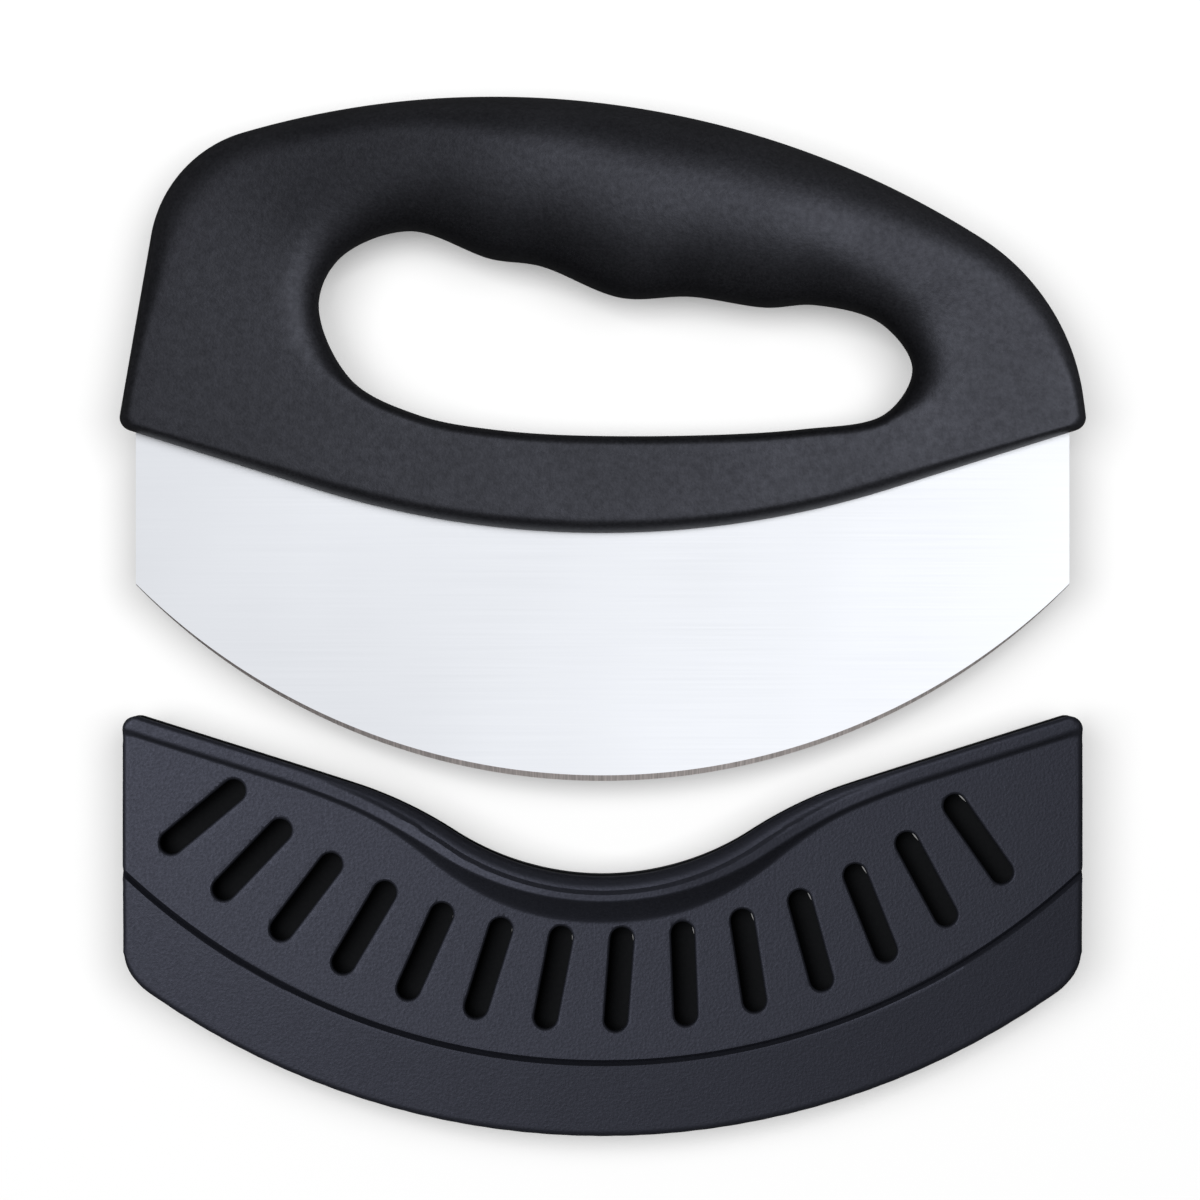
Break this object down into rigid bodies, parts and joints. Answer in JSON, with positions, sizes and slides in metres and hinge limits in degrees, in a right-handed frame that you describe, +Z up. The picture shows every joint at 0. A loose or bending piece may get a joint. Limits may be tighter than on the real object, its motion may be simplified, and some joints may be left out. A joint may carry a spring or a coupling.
{
  "type": "mezzaluna",
  "caption": "Rocking arc-edged steel blade in a black closed-loop handle with finger scallops, beside its slotted moulded blade guard, which slides over the cutting edge.",
  "frame": {"origin": "on the table under the middle of the part's outline, with the knife lying flat on its grip and the guard drawn off", "axes": "+X along the blade to the right of the picture, +Y from the guard up to the crown of the handle, +Z up through the knife's thickness"},
  "size_m": [0.1861, 0.2002, 0.024],
  "materials": {
    "blade_steel": "bright fine-ground stainless sheet with a narrow ground edge",
    "handle_plastic": "satin moulded black",
    "guard_plastic": "fine spark-textured black with a slight blue cast"
  },
  "bodies": {
    "knife": {"blade": "blade_steel", "handle_front_shell": "handle_plastic", "handle_back_shell": "handle_plastic"},
    "guard": {"guard_front_shell": "guard_plastic", "guard_back_shell": "guard_plastic"}
  },
  "joints": [
    {"name": "guard_slide", "type": "slide", "parent": "knife", "child": "guard", "axis": [0, 1, 0], "range_m": [0, 0.054]}
  ]
}
